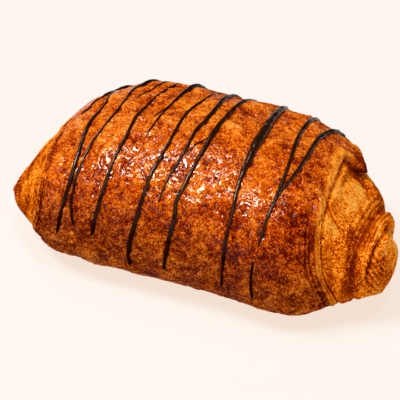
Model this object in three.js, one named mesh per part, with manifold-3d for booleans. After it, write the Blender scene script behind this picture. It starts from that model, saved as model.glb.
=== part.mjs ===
// Pain au chocolat: a roll of laminated dough in an egg-washed wrap, with a coiled end at each side
// and strands of dark chocolate across its top. One solid, in millimetres.
// X runs along the roll, Y from front (-) to back (+), Z up from the tray it was baked on.
import * as THREE from 'three';
import { mergeVertices } from 'three/addons/utils/BufferGeometryUtils.js';
import Module from 'manifold-3d';

// Cross-sections along the roll: place along X, half width, height, lift off the tray, drift to the back.
const SECTIONS = [
  { place: -60.2, halfWidth: 0, height: 0, lift: 17.8, drift: -15 },
  { place: -58.9, halfWidth: 3, height: 4.2, lift: 15.6, drift: -14.8 },
  { place: -56.4, halfWidth: 10, height: 15.2, lift: 10, drift: -11.6 },
  { place: -49, halfWidth: 21.5, height: 31, lift: 4, drift: -5 },
  { place: -42, halfWidth: 28.5, height: 41.5, lift: 1, drift: -2.5 },
  { place: -27, halfWidth: 34, height: 48, lift: 0, drift: 0.5 },
  { place: -5, halfWidth: 34, height: 49, lift: 0, drift: 1.5 },
  { place: 13, halfWidth: 34, height: 48.5, lift: 0, drift: 2 },
  { place: 29, halfWidth: 34, height: 46.5, lift: 0, drift: 1 },
  { place: 40, halfWidth: 31, height: 41.5, lift: 0.5, drift: 0 },
  { place: 51, halfWidth: 21.2, height: 26, lift: 4.5, drift: -1.3 },
  { place: 58.5, halfWidth: 13.7, height: 19, lift: 8.3, drift: -4.3 },
  { place: 62, halfWidth: 8, height: 12.2, lift: 9.9, drift: -5.4 },
  { place: 63.3, halfWidth: 0, height: 0, lift: 16.5, drift: -5 },
];
// Each section is a rounded box, widest at its waist and flatter below it, round all over near the ends.
const WAIST_SHARE = 0.42;
const ROUNDNESS_ABOVE = 2.35;
const ROUNDNESS_BELOW = 2.6;
const ROUNDNESS_ENDS = 2.1;
const ENDS_FROM = 38;
const ENDS_TO = 52;
// How far the loaf has settled into its flat foot.
const FOOT_DEPTH = 1;

// Rows of skin on the wrap and on the roll beyond each rim.
const WRAP_ROWS = 34;
const ROLL_ROWS_RIGHT = 26;
const ROLL_ROWS_LEFT = 12;
// Steps round the girth, drawn together over the top by this many degrees.
const GIRTH_STEPS = 46;
const TOP_ANGLE = -20;
const DRAWN_TOGETHER = 12;

// The wrap is a sheet round the roll, with a raised lip at the rim on each side.
const RIM_RIGHT = 44.5;
const RIM_LEFT = -48;
const LIP = 0.45;
const SHEET = 1;
const SHEET_OPEN = 1.4;
const OPEN_LIFT = 0.6;
const LAYER_STEP = 1.1;
const LAYER_LEDGE = 0.35;

// The right rim gapes at the back of the top, where a ridge and a hollow of the roll show beside it.
const OPEN_ANGLE = -38;
const OPEN_SPREAD = 40;
const SHUT_DEPTH = 0.55;
const GROOVE_DEPTH = 2.2;
const RIDGE = 0.35;
const HOLLOW = 1;

// A pointed corner of the wrap reaches over a cavity behind the top.
const FLAP_ANGLE = -38;
const FLAP_BACK = 15;
const FLAP_FRONT = 11;
const FLAP_REACH = 5.6;
const FLAP_LIFT = 1.8;
const FLAP_CAVITY = 1.8;
const CAVITY_FRONT = 24;

// Behind the top the wrap's rim and the roll beside it dip.
const BACK_ANGLE = -71;
const BACK_SPREAD = 22;
const RIM_DIP = 0.7;
const ROLL_DIP = 1.8;
const ROLL_DIP_PLACE = 45.5;

// Beyond the rims a valley parts the last turn from the coiled core, then come folds and a second valley.
const VALLEY_RIGHT = 54.3;
const VALLEY_LEFT = -55.8;
const VALLEY_DEPTH = 1.8;
const LEFT_VALLEY_SHARE = 0.7;
const SHOULDER_SWELL = 0.8;
const FOLD_DEPTH = 0.8;
const FOLD_STEP = 1.25;
const FOLD_SWELL = 0.6;
const SECOND_VALLEY = 59.1;
const SECOND_VALLEY_DEPTH = 1.1;
const NOTCH_PLACE = 60.4;
const NOTCH_ANGLE = -60;
const NOTCH_SPREAD = 30;
const NOTCH_DEPTH = 1.7;
const COIL_RIGHT = { y: -9.5, z: 23 };
const COIL_LEFT = { y: -12.5, z: 15 };
const COIL_PITCH = 2.6;
const COIL_LEDGE = 0.6;
const LOW_SHARE = 0.6;

// Slow blisters of the baked skin, and the seam that is tucked under the foot.
const BLISTER = 0.35;
const SEAM_ANGLE = 168;
const SEAM_DEPTH = 0.6;

// Strands of chocolate: place along X, degrees round from the top (front is positive), width.
const STRANDS = [
  [[-33.5, -62, 2], [-36.5, -34, 1.8], [-38.2, -20, 1.3], [-39.5, -6, 1], [-40.4, 4, 0.8]],
  [[-36.4, -36, 1], [-34.7, -2, 1.4], [-35.2, 30, 1.9], [-34.9, 57, 1.8], [-37, 92, 1.4]],
  [[-26.5, -66, 1.8], [-27.8, -42, 2], [-29.3, -19, 1.3], [-28.7, 5, 1.2], [-31.4, 36, 1.4], [-33.2, 66, 1.4],
    [-31.3, 83, 1.1]],
  [[-22.5, -44, 0.7], [-23.8, -26, 0.8], [-25.8, -9, 0.7]],
  [[-19.5, -44, 0.9], [-20.9, -10, 1.2], [-21.4, 20, 1.6], [-21.7, 47, 1.5], [-22.3, 64, 1.7],
    [-24.3, 87, 1.6]],
  [[-12.6, -62, 2.1], [-13.6, -36, 2.4], [-14.6, -10, 1.2], [-16.7, 11, 0.7]],
  [[-14.4, -4, 0.7], [-14.8, 10, 0.9], [-15.2, 27, 0.7]],
  [[-7.5, -62, 1], [-6.2, -30, 1], [-7.4, -4, 1.4], [-7.1, 26, 1.6], [-8.7, 55, 1.8], [-10.6, 80, 2.1],
    [-11.7, 103, 1.4]],
  [[-0.6, -62, 1.6], [-1.7, -38, 1.9], [-0.6, -10, 2.1], [-1.5, 21, 1.6], [-3, 48, 1.1], [-3.8, 62, 0.7]],
  [[3.2, 18, 0.7], [1, 24, 0.9], [-1.2, 32, 0.8]],
  [[5.2, -66, 1.5], [4.5, -30, 1.9], [3.9, 4, 2.5], [3.5, 36, 2], [1.5, 60, 1.8], [0.9, 80, 1.9],
    [-0.5, 99, 1.7]],
  [[14.2, -68, 2.2], [16.6, -36, 3.1], [17.9, -4, 4], [18, 16, 3.6], [18.4, 44, 2], [18.3, 74, 1.6],
    [16.9, 101, 1.1]],
  [[27.3, -68, 1.3], [28.6, -38, 1.9], [30, 0, 1.8], [30.9, 34, 1.6], [28.1, 68, 1.1]],
  [[26.9, 76, 1], [25.5, 89, 1.3], [25.4, 101, 1]],
  [[38.6, -60, 1.5], [36.6, -38, 2.5], [35, -4, 1.9], [33.6, 22, 1.4], [31, 41, 1.1]],
];
const STRAND_STEP = 5;
const STRAND_SIDES = 5;
const STRAND_RISE = 0.75;
const STRAND_ROOT = 0.7;
const STRAND_TAPER = 2.2;

// The middle of the finished outline, which is moved to the origin.
const MIDDLE = { x: 1.68, y: 1.02 };

const DEGREE = Math.PI / 180;

// Smooth step from 0 at low to 1 at high.
function ramp(value, low, high) {
  const share = Math.min(Math.max((value - low) / (high - low), 0), 1);
  return share * share * (3 - 2 * share);
}

// A rounded bump: 1 at its centre, 0 beyond its reach on either side.
function bump(value, centre, before, after) {
  return ramp(value, centre - before, centre) * (1 - ramp(value, centre, centre + after));
}

// A soft swell round an angle in degrees, which wraps round the girth.
function swell(degrees, centre, spread) {
  const turn = ((degrees - centre + 540) % 360) - 180;
  return Math.exp(-((turn / spread) ** 2));
}

// Smooth curve through a list of rows of numbers, at a share 0 to 1 along it.
function smooth(rows, share) {
  const last = rows.length - 1;
  const at = Math.min(Math.max(share, 0), 1) * last;
  const index = Math.min(Math.floor(at), last - 1);
  const f = at - index;
  const before = rows[Math.max(index - 1, 0)];
  const start = rows[index];
  const end = rows[index + 1];
  const after = rows[Math.min(index + 2, last)];
  return start.map((value, k) => {
    const slopeIn = (end[k] - before[k]) / 2;
    const slopeOut = (after[k] - value) / 2;
    const curve = 2 * value - 2 * end[k] + slopeIn + slopeOut;
    const bend = -3 * value + 3 * end[k] - 2 * slopeIn - slopeOut;
    return ((curve * f + bend) * f + slopeIn) * f + value;
  });
}

const SECTION_ROWS = SECTIONS.map((s) => [s.place, s.halfWidth, s.height, s.lift, s.drift]);

function sectionAt(share) {
  return smooth(SECTION_ROWS, share);
}

// The share along the section curve that lies at a place along X.
function shareAt(place) {
  let low = 0;
  let high = 1;
  while (high - low > 1e-6) {
    const middle = (low + high) / 2;
    if (sectionAt(middle)[0] < place) low = middle;
    else high = middle;
  }
  return (low + high) / 2;
}

// A point on the smooth loaf, before any relief.
function loafPoint(share, degrees) {
  const [place, halfWidth, height, lift, drift] = sectionAt(share);
  const side = Math.sin(degrees * DEGREE);
  const up = Math.cos(degrees * DEGREE);
  const waist = WAIST_SHARE * height;
  const reach = up >= 0 ? height - waist : waist;
  const nearEnd = ramp(Math.abs(place), ENDS_FROM, ENDS_TO);
  const below = ROUNDNESS_BELOW + (ROUNDNESS_ENDS - ROUNDNESS_BELOW) * nearEnd;
  const power = up >= 0 ? ROUNDNESS_ABOVE : below;
  const across = Math.abs(side) / Math.max(halfWidth, 1e-6);
  const along = Math.abs(up) / Math.max(reach, 1e-6);
  const radius = (across ** power + along ** power) ** (-1 / power);
  return new THREE.Vector3(place, drift - radius * side, lift + waist + radius * up);
}

// The outward direction of the smooth loaf.
function loafNormal(share, degrees) {
  const near = 0.004;
  const middle = Math.min(Math.max(share, near), 1 - near);
  const alongRoll = loafPoint(middle + near, degrees).sub(loafPoint(middle - near, degrees));
  const roundGirth = loafPoint(middle, degrees + 1).sub(loafPoint(middle, degrees - 1));
  return alongRoll.cross(roundGirth).normalize().negate();
}

// The rims lean: both ends of the wrap reach furthest at the front and low down.
function lean(place, degrees) {
  const turned = 4.7 * Math.cos((degrees + 40) * DEGREE);
  const right = 0.5 - turned - 0.9 * swell(degrees, 45, 24) + 2.2 * swell(degrees, 97, 18);
  const left = -2 + 4.5 * swell(degrees, 60, 45);
  return right * bump(place, RIM_RIGHT, 38, 8.5) + left * bump(place, RIM_LEFT, 7, 36);
}

// How far the right rim gapes: 1 at the back of the top, 0 at the front and below.
function openingAt(degrees) {
  return swell(degrees, OPEN_ANGLE, OPEN_SPREAD);
}

// Where round the girth the wrap's corner reaches out of the right rim: 1 at its tip.
function flapShare(degrees, front = FLAP_FRONT) {
  const back = ramp(degrees, FLAP_ANGLE - FLAP_BACK, FLAP_ANGLE);
  return back * (1 - ramp(degrees, FLAP_ANGLE, FLAP_ANGLE + front));
}

// How low on the sides an angle is, where the valleys and ledges of the ends fade: 1 underneath.
function lowness(degrees) {
  return ramp(Math.abs(degrees), 80, 105);
}

// Thin edges of the wrap's own layers, stepping down to its rim.
function layerLedges(outward) {
  const within = ramp(outward, -3.6, -3.1) * (1 - ramp(outward, -0.3, 0.1));
  const along = outward / LAYER_STEP - Math.floor(outward / LAYER_STEP);
  return -LAYER_LEDGE * within * (0.6 - ramp(along, 0.55, 0.95) + 0.6 * ramp(along, 0, 0.5));
}

// The core's turns as rounded ledges, seen as a spiral about the coil's centre.
function coilRelief(point, coil) {
  const y = point.y - coil.y;
  const z = (point.z - coil.z) / 1.25;
  const turns = Math.hypot(y, z) / COIL_PITCH - Math.atan2(z, y) / (2 * Math.PI);
  const along = turns - Math.floor(turns);
  return COIL_LEDGE * (ramp(along, 0, 0.65) - ramp(along, 0.7, 1) - 0.5);
}

// Slow swells and hollows of the baked crust.
function blisters(place, degrees) {
  const turn = degrees * DEGREE;
  const broad = Math.sin(place / 4.1 + 2.3 * Math.sin(3 * turn)) * Math.sin(6 * turn + place / 9);
  const small = Math.sin(place / 2.6 - 8 * turn) * Math.sin(11 * turn + 1.7);
  return BLISTER * (0.65 * broad + 0.35 * small);
}

// A point of the wrap's outer skin, or of a layer sunk so many millimetres under it.
function wrapPoint(place, degrees, sunk = 0) {
  const pastRight = place - RIM_RIGHT;
  const pastLeft = RIM_LEFT - place;
  const flap = flapShare(degrees);
  const reach = flap * FLAP_REACH * ramp(pastRight, -9, 0);
  const share = shareAt(place + lean(place, degrees) + reach);
  let height = LIP * (bump(pastRight, -0.7, 2.2, 0.9) + bump(pastLeft, -0.7, 2.2, 0.9));
  height += OPEN_LIFT * openingAt(degrees) * (1 - flap) * ramp(pastRight, -3, 0);
  height += flap * FLAP_LIFT * ramp(pastRight, -5, 0.5);
  height -= RIM_DIP * swell(degrees, BACK_ANGLE, BACK_SPREAD) * ramp(pastRight, -6, -1);
  height += layerLedges(pastLeft) + 0.8 * layerLedges(pastRight) * ramp(degrees, 20, 50);
  height += blisters(place, degrees) - SEAM_DEPTH * swell(degrees, SEAM_ANGLE, 4);
  return loafPoint(share, degrees).addScaledVector(loafNormal(share, degrees), height - sunk);
}

// Height of the roll beside the right rim: shut at the front, a groove, ridge and hollow where it gapes.
function besideRightRim(outward, degrees) {
  const opening = openingAt(degrees);
  const under = flapShare(degrees, CAVITY_FRONT);
  const far = 0.6 + 3 * opening;
  const clear = under * FLAP_REACH;
  const shut = -SHUT_DEPTH * (1 - ramp(outward, 0.4, 1.4));
  let gaping = -GROOVE_DEPTH + (GROOVE_DEPTH + RIDGE) * ramp(outward, 0.5, 1.5);
  gaping += HOLLOW * ramp(outward, far, far + 0.9) - (RIDGE + HOLLOW) * ramp(outward, 1.7, 2.5);
  const cavity = -FLAP_CAVITY * (1 - ramp(outward, clear + 0.2, clear + 1.8));
  gaping += under * (cavity - gaping);
  return shut + opening * (gaping - shut);
}

// Swelling turn and the valley after it; outward is the distance past the valley.
function valleyRelief(outward) {
  return SHOULDER_SWELL * bump(outward, -3, 4, 2) - VALLEY_DEPTH * bump(outward, 0, 1.2, 1.9);
}

// Folds, the second valley and the notch on the right end's core.
function foldRelief(place, past, degrees) {
  const second = ramp(degrees, -100, -60) * (1 - ramp(degrees, 60, 85)) + 0.9 * swell(degrees, -45, 20);
  const fold = ramp(degrees, -70, -35) * (1 - ramp(degrees, 30, 60));
  let height = FOLD_SWELL * swell(degrees, -56, 26) * bump(place, 56.9, 2.4, 2.2);
  height -= SECOND_VALLEY_DEPTH * second * bump(place, SECOND_VALLEY, 0.9, 1.3);
  height -= FOLD_DEPTH * fold * bump(past, FOLD_STEP, 0.7, 0.8);
  height -= NOTCH_DEPTH * swell(degrees, NOTCH_ANGLE, NOTCH_SPREAD) * bump(place, NOTCH_PLACE, 4, 3);
  return height;
}

// A point of the inner roll's skin, which runs in under the wrap and out to the coiled ends.
function rollPoint(place, degrees) {
  const pastRight = place - RIM_RIGHT;
  const pastLeft = RIM_LEFT - place;
  const share = shareAt(place + lean(place, degrees));
  const point = loafPoint(share, degrees);
  const besideLeft = -SHUT_DEPTH * (1 - ramp(pastLeft, 0.3, 1.4));
  let height = place > 0 ? besideRightRim(pastRight, degrees) : besideLeft;
  height -= ROLL_DIP * swell(degrees, BACK_ANGLE, BACK_SPREAD) * bump(place, ROLL_DIP_PLACE, 5, 6);
  const past = place - VALLEY_RIGHT - swell(degrees, 92, 26);
  const faded = 1 - LOW_SHARE * lowness(degrees);
  const pastLeftValley = VALLEY_LEFT - place;
  const leftShare = LEFT_VALLEY_SHARE * (1 - ramp(Math.abs(degrees), 66, 82));
  height += faded * valleyRelief(past) + leftShare * valleyRelief(pastLeftValley);
  height += foldRelief(place, past, degrees);
  height += faded * coilRelief(point, COIL_RIGHT) * ramp(past, 2.8, 3.8);
  height += faded * coilRelief(point, COIL_LEFT) * ramp(pastLeftValley, 1, 2);
  return point.addScaledVector(loafNormal(share, degrees), height);
}

// A closed mesh from rings of points, with one point at each end.
function closedRings(first, rings, last) {
  const points = [first, ...rings.flat(), last];
  const sides = rings[0].length;
  const end = points.length - 1;
  const index = [];
  for (let k = 0; k < sides; k += 1) {
    const next = (k + 1) % sides;
    const tail = end - sides;
    index.push(0, 1 + next, 1 + k);
    index.push(end, tail + k, tail + next);
    for (let r = 0; r < rings.length - 1; r += 1) {
      const a = 1 + r * sides + k;
      const b = 1 + r * sides + next;
      index.push(a, b, b + sides);
      index.push(a, b + sides, a + sides);
    }
  }
  const geometry = new THREE.BufferGeometry();
  const numbers = points.flatMap((p) => [p.x, p.y, p.z]);
  geometry.setAttribute('position', new THREE.Float32BufferAttribute(numbers, 3));
  geometry.setIndex(index);
  return geometry;
}

// Angles round the girth, from underneath, closest together over the top.
const GIRTH = Array.from({ length: GIRTH_STEPS }, (_, k) => {
  const even = (k * 360) / GIRTH_STEPS - 180;
  return even - DRAWN_TOGETHER * Math.sin((even - TOP_ANGLE) * DEGREE);
});

// The wrap: its outer skin, the cut edges of both rims and the sides turned in under it.
function wrap() {
  const places = Array.from({ length: WRAP_ROWS }, (_, k) => {
    const share = k / (WRAP_ROWS - 1);
    return RIM_LEFT + (RIM_RIGHT - RIM_LEFT) * (share - 0.13 * Math.sin(2 * Math.PI * share));
  });
  const outer = places.map((place) => GIRTH.map((degrees) => wrapPoint(place, degrees)));
  const turned = [[0.3, 0.3], [0.25, 0.95], [-3, 2]];
  const edge = (rim, side) =>
    turned.map(([out, sunk]) =>
      GIRTH.map((degrees) => {
        const open = side > 0 ? openingAt(degrees) : 0;
        const sheet = SHEET + (SHEET_OPEN - SHEET) * open - 0.5 * flapShare(degrees) * ramp(side, 0, 1);
        const point = wrapPoint(rim, degrees, sheet * sunk);
        point.x += side * out;
        return point;
      }),
    );
  const rings = [...edge(RIM_LEFT, -1).reverse(), ...outer, ...edge(RIM_RIGHT, 1)];
  return closedRings(new THREE.Vector3(-38, 0, 22), rings, new THREE.Vector3(38, 0, 22));
}

// The inner roll: hidden under the wrap, with its turned and coiled ends outside.
function roll() {
  const first = SECTIONS[0].place;
  const last = SECTIONS[SECTIONS.length - 1].place;
  const spread = (count, from, to) =>
    Array.from({ length: count }, (_, k) => {
      const turn = ((k + 1) * Math.PI) / (2 * count);
      return from + (to - from) * (1 - Math.cos(turn));
    });
  const left = spread(ROLL_ROWS_LEFT, first, RIM_LEFT + 4);
  const right = spread(ROLL_ROWS_RIGHT, last, RIM_RIGHT - 4).reverse();
  const rings = [...left, ...right].map((place) => GIRTH.map((degrees) => rollPoint(place, degrees)));
  return closedRings(loafPoint(0, 0), rings, loafPoint(1, 0));
}

// One strand of chocolate, a half-round bead that follows the skin.
function strand(stops) {
  const route = (share) => smooth(stops, share);
  const centre = (share) => wrapPoint(...route(share).slice(0, 2));
  const rough = Array.from({ length: 24 }, (_, k) => centre(k / 23));
  const length = rough.slice(1).reduce((sum, p, k) => sum + p.distanceTo(rough[k]), 0);
  const steps = Math.max(4, Math.round(length / STRAND_STEP));
  const rings = [];
  for (let i = 0; i <= steps; i += 1) {
    const share = i / steps;
    const [place, degrees, width] = route(share);
    const ahead = centre(Math.min(share + 0.02, 1)).sub(centre(Math.max(share - 0.02, 0))).normalize();
    const up = loafNormal(shareAt(place + lean(place, degrees)), degrees);
    const side = ahead.clone().cross(up).normalize();
    const gone = (length * Math.min(share, 1 - share)) / STRAND_TAPER;
    const taper = Math.sqrt(Math.min(1, 0.2 + gone));
    const base = wrapPoint(place, degrees);
    rings.push(
      Array.from({ length: STRAND_SIDES }, (_, k) => {
        const turn = (2 * Math.PI * (k + 0.75)) / STRAND_SIDES;
        const rise = Math.sin(turn) > 0 ? STRAND_RISE * Math.sqrt(width) : STRAND_ROOT;
        return base
          .clone()
          .addScaledVector(side, (Math.cos(turn) * taper * width) / 2)
          .addScaledVector(up, Math.sin(turn) * taper * rise);
      }),
    );
  }
  return closedRings(centre(0), rings, centre(1));
}

const wasm = await Module();
wasm.setup();

// A merged three.js geometry as a solid, turned the right way round.
function solid(geometry) {
  const merged = mergeVertices(geometry, 1e-4);
  const vertProperties = merged.attributes.position.array;
  const triVerts = Uint32Array.from(merged.index.array);
  const made = new wasm.Manifold(new wasm.Mesh({ numProp: 3, vertProperties, triVerts }));
  if (made.volume() > 0) return made;
  for (let k = 0; k < triVerts.length; k += 3) {
    [triVerts[k], triVerts[k + 1]] = [triVerts[k + 1], triVerts[k]];
  }
  return new wasm.Manifold(new wasm.Mesh({ numProp: 3, vertProperties, triVerts }));
}

// A large block under the tray, which cuts the foot flat.
function trayBlock() {
  const block = new THREE.BoxGeometry(200, 200, 40);
  block.translate(0, 0, FOOT_DEPTH - 20);
  block.deleteAttribute('normal');
  block.deleteAttribute('uv');
  return block;
}

function pastry() {
  let whole = solid(wrap()).add(solid(roll()));
  for (const stops of STRANDS) {
    whole = whole.add(solid(strand(stops)));
  }
  whole = whole.subtract(solid(trayBlock()));
  const { vertProperties, triVerts } = whole.getMesh();
  const geometry = new THREE.BufferGeometry();
  geometry.setAttribute('position', new THREE.Float32BufferAttribute(vertProperties, 3));
  geometry.setIndex([...triVerts]);
  geometry.translate(-MIDDLE.x, -MIDDLE.y, -FOOT_DEPTH);
  geometry.computeVertexNormals();
  return geometry;
}

const crust = new THREE.MeshStandardMaterial({ color: '#b8621c', roughness: 0.4, metalness: 0 });
const mesh = new THREE.Mesh(pastry(), crust);
mesh.name = 'pastry';
const group = new THREE.Group();
group.add(mesh);

export default group;
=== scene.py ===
import math

import bpy
import numpy as np
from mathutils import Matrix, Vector, noise


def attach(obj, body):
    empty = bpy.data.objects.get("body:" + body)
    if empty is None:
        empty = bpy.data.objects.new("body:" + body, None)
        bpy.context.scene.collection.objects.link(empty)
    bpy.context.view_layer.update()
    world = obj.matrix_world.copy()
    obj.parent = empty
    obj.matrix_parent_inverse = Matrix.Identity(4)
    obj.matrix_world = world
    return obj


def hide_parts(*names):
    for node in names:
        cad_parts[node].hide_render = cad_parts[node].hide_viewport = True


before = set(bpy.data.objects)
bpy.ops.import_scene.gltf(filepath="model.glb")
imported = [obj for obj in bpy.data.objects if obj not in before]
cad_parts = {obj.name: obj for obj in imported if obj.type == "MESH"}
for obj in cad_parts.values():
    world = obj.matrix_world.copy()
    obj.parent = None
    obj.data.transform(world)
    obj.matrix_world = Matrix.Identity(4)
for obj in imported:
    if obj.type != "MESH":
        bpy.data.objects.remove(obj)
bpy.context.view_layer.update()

MM = 0.001
TO_MM = (1000, 1000, 1000)

# Cross-sections along the roll, in millimetres: place along X, half width, height, lift off the tray and
# drift to the back.
SECTIONS = [
    (-60.2, 0, 0, 17.8, -15),
    (-58.9, 3, 4.2, 15.6, -14.8),
    (-56.4, 10, 15.2, 10, -11.6),
    (-49, 21.5, 31, 4, -5),
    (-42, 28.5, 41.5, 1, -2.5),
    (-27, 34, 48, 0, 0.5),
    (-5, 34, 49, 0, 1.5),
    (13, 34, 48.5, 0, 2),
    (29, 34, 46.5, 0, 1),
    (40, 31, 41.5, 0.5, 0),
    (51, 21.2, 26, 4.5, -1.3),
    (58.5, 13.7, 19, 8.3, -4.3),
    (62, 8, 12.2, 9.9, -5.4),
    (63.3, 0, 0, 16.5, -5),
]

# How high up a section is widest, how round it is above and below and at the roll's ends, and from where to
# where along X it changes to that. Then how much of the underside is pressed flat, and the point that comes
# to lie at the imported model's origin.
WAIST_SHARE = 0.42
ROUNDNESS_ABOVE = 2.35
ROUNDNESS_BELOW = 2.6
ROUNDNESS_ENDS = 2.1
ROUND_ENDS_FROM = (38, 52)
FOOT_DEPTH = 1
MIDDLE = np.array([1.68, 1.02, FOOT_DEPTH])

# Rows of the wrap between its rims and how much closer they lie beside them, rows of the roll from each rim
# to its tip and how far they start under the wrap, and steps round the girth.
WRAP_ROWS = 292
ROWS_CROWDED = 0.07
ROLL_ROWS_RIGHT = 150
ROLL_ROWS_LEFT = 80
ROLL_TUCKED_IN = 4
GIRTH_STEPS = 320
GIRTH_DEGREES = np.arange(GIRTH_STEPS) * 360 / GIRTH_STEPS - 180

# Lengths are in millimetres, and angles are degrees round from the top, positive to the front. AT names a
# swell's angle and spread. REACH with two numbers is how far a bump goes before and after its middle. The
# other names with two numbers say where a fade starts and ends, with three a bump's middle and its reach
# before and after, and with four where something starts, is full, begins to fade and ends.

# Rims of the wrap, and how far each leans out along X round the girth: swells of angle, spread and size.
RIM_RIGHT = 44.5
RIM_LEFT = -48
LEAN_RIGHT = 0.5
LEAN_SWING = 4.7
LEAN_TURN = 40
LEAN_RIGHT_SWELLS = ((45, 24, -0.9), (97, 18, 2.2))
LEAN_RIGHT_REACH = (38, 8.5)
LEAN_LEFT = -2
LEAN_LEFT_SWELLS = ((60, 45, 4.5),)
LEAN_LEFT_REACH = (7, 36)
LIP = 0.45
LIP_ALONG = (-0.7, 2.2, 0.9)
BACK_AT = (-71, 22)
RIM_DIP = 0.7
RIM_DIP_ALONG = (-6, -1)
SEAM_DEPTH = 0.6
SEAM_AT = (168, 4)

# The right rim gapes at the back of the top, where a corner of the wrap is lifted clear of the roll.
OPENING_AT = (-38, 40)
OPENING_LIFT = 0.6
OPENING_ALONG = (-3, 0)
FLAP_ANGLE = -38
FLAP_BACK = 15
FLAP_FRONT = 11
FLAP_REACH = 5.6
FLAP_REACH_ALONG = (-9, 0)
FLAP_LIFT = 1.8
FLAP_LIFT_ALONG = (-5, 0.5)
FLAP_BROWN_ALONG = (-5, -1)
FLAP_CAVITY = 1.8
CAVITY_FRONT = 24
CAVITY_ALONG = (0.2, 1.8)

# The wrap's sheet, thicker where it gapes and thinner in the lifted corner. Its rims turn in under it by
# rows of reach along X and share of the thickness, and it closes inside the loaf.
SHEET = 1
SHEET_OPEN = 1.4
FLAP_THINNED = 0.5
TURNED_EDGE = ((0.22, 0.12), (0.36, 0.45), (0.3, 0.9), (0.1, 1.1), (-1.5, 1.3), (-4, 2.5))
WRAP_INSIDE = np.array([(-38.0, 0, 22), (38.0, 0, 22)])

# Thin edges of the wrap's layers, stepping down to its rims, and the browned lines along them.
LAYER_STEP = 1.1
LAYER_LEDGE = 0.35
LEDGES_ALONG = (-3.6, -3.1, -0.3, 0.1)
LEDGE_LEVEL = 0.6
LEDGE_DROP = (0.55, 0.95)
LEDGE_RISE = (0, 0.5)
LINES_ALONG = (-4.4, -3.4, -0.3, 0.1)
LINE_IN_STEP = (0.75, 0.35, 0.22)
RIGHT_LEDGES = 0.8
RIGHT_LEDGES_ROUND = (20, 50)
RIGHT_LINES_ROUND = (30, 60)

# The gap beside each rim. Shut, it is a shallow step. Gaping, it is a groove, a ridge and a hollow beyond.
SHUT_DEPTH = 0.55
SHUT_RIGHT_ALONG = (0.4, 1.4)
SHUT_LEFT_ALONG = (0.3, 1.4)
GROOVE_DEPTH = 2.2
RIDGE = 0.35
RIDGE_RISE = (0.5, 1.5)
RIDGE_FALL = (1.7, 2.5)
HOLLOW = 1
HOLLOW_REACH = 0.6
HOLLOW_WIDENED = 3
HOLLOW_RISE = 0.9
UNDER_DEPTH = 3
UNDER_ALONG = (-1.6, 0)
# Painted shade in the hollow beside the gaping rim and in the cavity under the lifted corner: where it lies,
# its strength, and over what distance it fades.
HOLLOW_PAINTED_SHADE_ALONG = (2.2, 1.6, 2.2)
CAVITY_PAINTED_SHADE = 2.6
CAVITY_PAINTED_SHADE_FADE = 2

# Valleys between each shoulder and its coil. They fade underneath, the left one more and sooner.
VALLEY_RIGHT = 54.3
VALLEY_LEFT = -55.8
VALLEY_BEND_AT = (92, 26)
VALLEY_DEPTH = 1.8
VALLEY_ALONG = (0, 0.9, 1.6)
SHOULDER_SWELL = 0.8
SHOULDER_ALONG = (-3, 4, 2)
LOW_ROUND = (80, 105)
LOW_LOSS = 0.6
LEFT_VALLEY_SHARE = 0.7
LEFT_LOW_ROUND = (66, 82)
SECOND_VALLEY = 59.1
SECOND_VALLEY_REACH = (0.9, 1.3)
# Reach of the painted shade in the second valley.
SECOND_VALLEY_PAINTED_SHADE_REACH = (1.2, 1.6)
SECOND_VALLEY_DEPTH = 1.1
SECOND_VALLEY_SPAN = (-100, -60, 60, 85)
SECOND_VALLEY_BACK = 0.9
SECOND_VALLEY_BACK_AT = (-45, 20)
ROLL_DIP = 1.8
ROLL_DIP_ALONG = (45.5, 5, 6)

# Folds of the dough beside the right valley, each with its number of steps from it and its weight.
FOLD_DEPTH = 0.8
FOLD_STEP = 1.25
FOLD_REACH = (0.5, 0.6)
FOLD_SPAN = (-70, -35, 30, 60)
FOLD_WAVER = 0.35
FOLD_WAVER_SIZE = 5
FOLDS = ((-3, 0.35), (-2, 0.5), (-1, 0.6), (1, 1), (2, 0.8), (3, 0.4))
FOLD_SWELL = 0.6
FOLD_SWELL_ALONG = (56.9, 2.4, 2.2)
FOLD_SWELL_AT = (-56, 26)

# Each coil's middle across and up, its turns, and where its core begins beyond the valley.
COIL_RIGHT = (-9.5, 23)
COIL_LEFT = (-12.5, 15)
COIL_TALLER = 1.25
COIL_PITCH = 1.3
COIL_LEDGE = 0.6
TURN_RISE = (0, 0.65)
TURN_DROP = (0.7, 1)
CORE_RIGHT_ALONG = (2.8, 3.8)
CORE_LEFT_ALONG = (1, 2)

# Creases in the dough beside the rims: stops of place and degrees round, then depth and width.
CREASES = [
    ([(44.5, 21), (46.3, 30), (49, 37)], 0.9, 0.35),
    ([(58.9, 8), (58.9, 34), (59.1, 55), (58.8, 69)], 0.6, 0.4),
    ([(58.8, 69), (58.2, 77), (56.8, 82)], 0.4, 0.35),
    ([(-51, 20), (-53, 38), (-52, 60)], 0.3, 0.5),
]
# How much painted shade each crease adds to the darkening of the folds.
CREASE_PAINTED_SHADE = 1.4

# Lumps and dents of the roll's ends: stops of place and degrees round, then reach and rise.
LUMPS = [
    ([(60.4, -35), (60.6, -60), (60.2, -84)], 2.4, -1.7),
    ([(-59.4, 60), (-59.2, 80)], 1.1, 0.5),
]
ROUTE_STEPS = 40

# Relief of the baked skin: slow blisters, then creases and clouds with their sizes along the skin.
BLISTER_RISE = 0.35
BROAD_WAVE = 4.1
SLANT_WAVE = 9
SMALL_WAVE = 2.6
CREASE_SIZE = 3
CLOUD_SIZE = 8
WARP = 1.2
WARP_SIZE = 4
WRAP_RELIEF = {"wrinkle": 0.7, "cloud": 0.4}
ROLL_RELIEF = {"wrinkle": 0.14, "cloud": 0.3}
SEED_STEP = 17.3
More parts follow.
